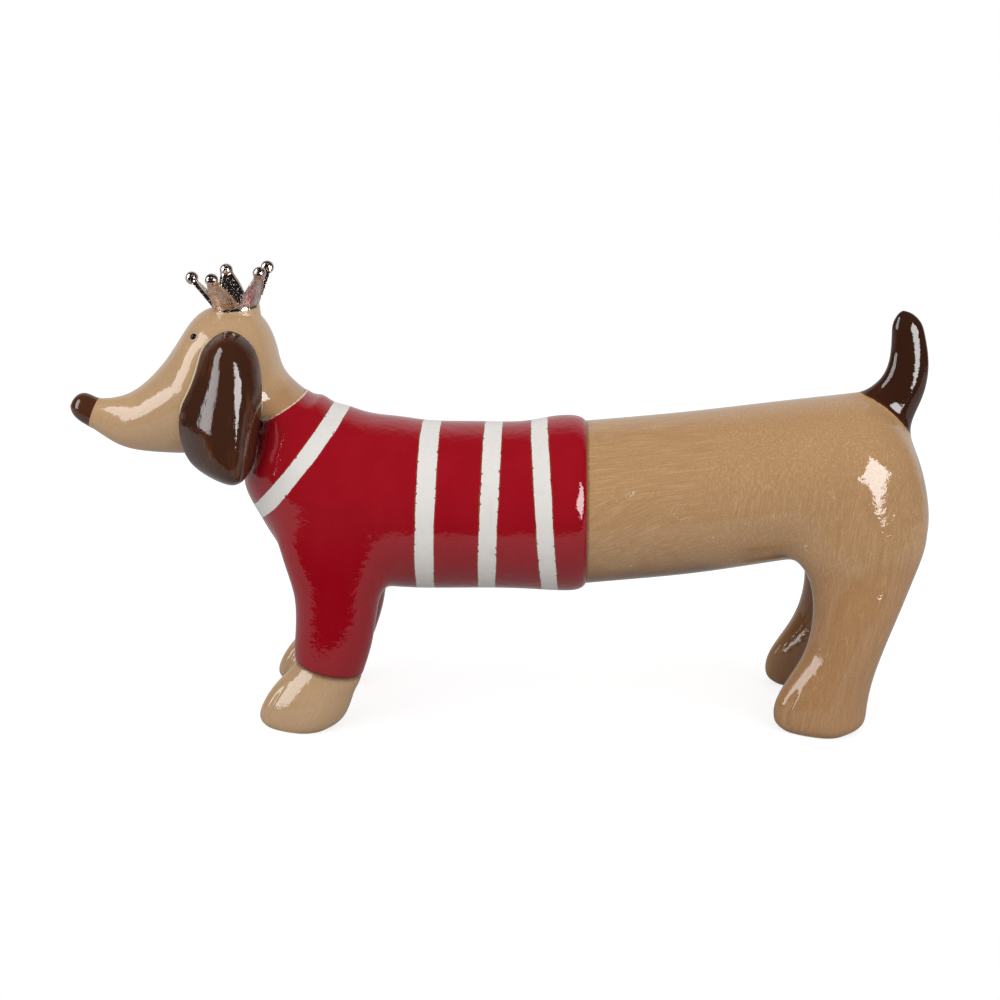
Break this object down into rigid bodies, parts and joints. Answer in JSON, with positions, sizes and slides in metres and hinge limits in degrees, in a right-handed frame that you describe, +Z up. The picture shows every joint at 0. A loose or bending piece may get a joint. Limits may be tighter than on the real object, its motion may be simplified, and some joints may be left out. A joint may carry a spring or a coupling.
{
  "type": "dog figurine",
  "caption": "Glazed ceramic dachshund ornament standing on its paws, long body in a striped sweater with a rolled hem, drooping ears, upright tail and a small flared crown.",
  "frame": {"origin": "midway along and across the figurine, on the plane that its four soles stand on", "axes": "+Z up, -X the way that the dog faces, +Y towards the dog's right side"},
  "size_m": [0.2868, 0.0704, 0.152],
  "materials": {
    "red_glaze": "deep red glaze with cream stripes, high gloss",
    "tan_glaze": "brushed tan underglaze under a clear gloss glaze",
    "brown_glaze": "dark chocolate glaze, high gloss",
    "black_glaze": "black glaze, high gloss",
    "silver_lustre": "mirror-like silver lustre fired on the glaze"
  },
  "bodies": {
    "root": {"sweater_body": "red_glaze", "front_leg_left": "red_glaze", "front_leg_right": "red_glaze", "rear_body": "tan_glaze", "head": "tan_glaze", "front_paw_left": "tan_glaze", "front_paw_right": "tan_glaze", "hind_leg_left": "tan_glaze", "hind_leg_right": "tan_glaze", "ear_left": "brown_glaze", "ear_right": "brown_glaze", "nose": "brown_glaze", "tail": "brown_glaze", "eye_left": "black_glaze", "eye_right": "black_glaze", "crown": "silver_lustre"}
  },
  "joints": []
}
